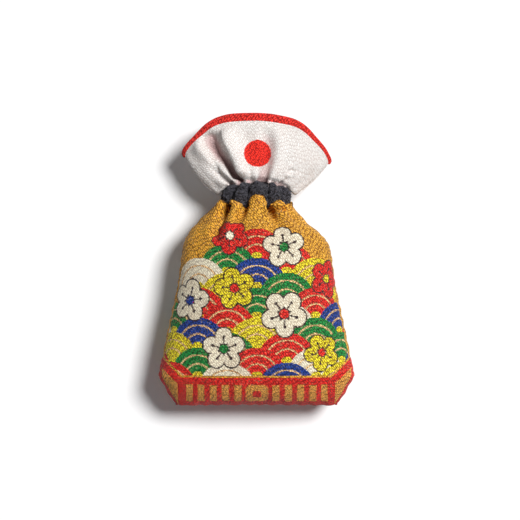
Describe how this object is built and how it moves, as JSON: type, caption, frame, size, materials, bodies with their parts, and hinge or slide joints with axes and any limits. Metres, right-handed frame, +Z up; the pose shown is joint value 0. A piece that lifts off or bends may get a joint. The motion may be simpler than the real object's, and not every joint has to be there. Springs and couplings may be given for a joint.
{
  "type": "drawstring pouch",
  "caption": "Small plump brocade pouch with a gathered neck, a dark cord casing and a pale fan-shaped collar edged in red.",
  "frame": {"origin": "centre of the pouch's plan rectangle, on the surface that its back lies on", "axes": "+Y from the base seam to the mouth, +Z up out of the front panel, +X to the right seen from above with the mouth away"},
  "size_m": [0.08, 0.12, 0.0323],
  "materials": {
    "gold_brocade": "crepe-grained brocade, gold ground with coloured motifs and a red base band",
    "charcoal_crepe": "matte dark crepe, tightly gathered",
    "cream_crepe": "matte pale crepe with a diagonal grain",
    "red_trim": "matte red crepe edging",
    "ivory_lining": "smooth lining cloth",
    "charcoal_cord": "twisted cord"
  },
  "bodies": {
    "pouch": {"body_front": "gold_brocade", "body_back": "gold_brocade", "lining_front": "ivory_lining", "lining_back": "ivory_lining", "casing_front": "charcoal_crepe", "casing_back": "charcoal_crepe", "drawcord": "charcoal_cord", "collar_gather_front": "cream_crepe", "collar_gather_back": "cream_crepe"},
    "collar": {"collar_front": "cream_crepe", "collar_back": "cream_crepe", "collar_facing_front": "ivory_lining", "collar_facing_back": "ivory_lining", "mouth_trim_front": "red_trim", "mouth_trim_back": "red_trim"}
  },
  "joints": [
    {"name": "collar_fold", "type": "hinge", "parent": "pouch", "child": "collar", "pos_m": [0, 0.027, 0.01465], "axis": [1, 0, 0], "range_deg": [-14, 45], "deforming": ["collar_gather_front", "collar_gather_back"]}
  ]
}
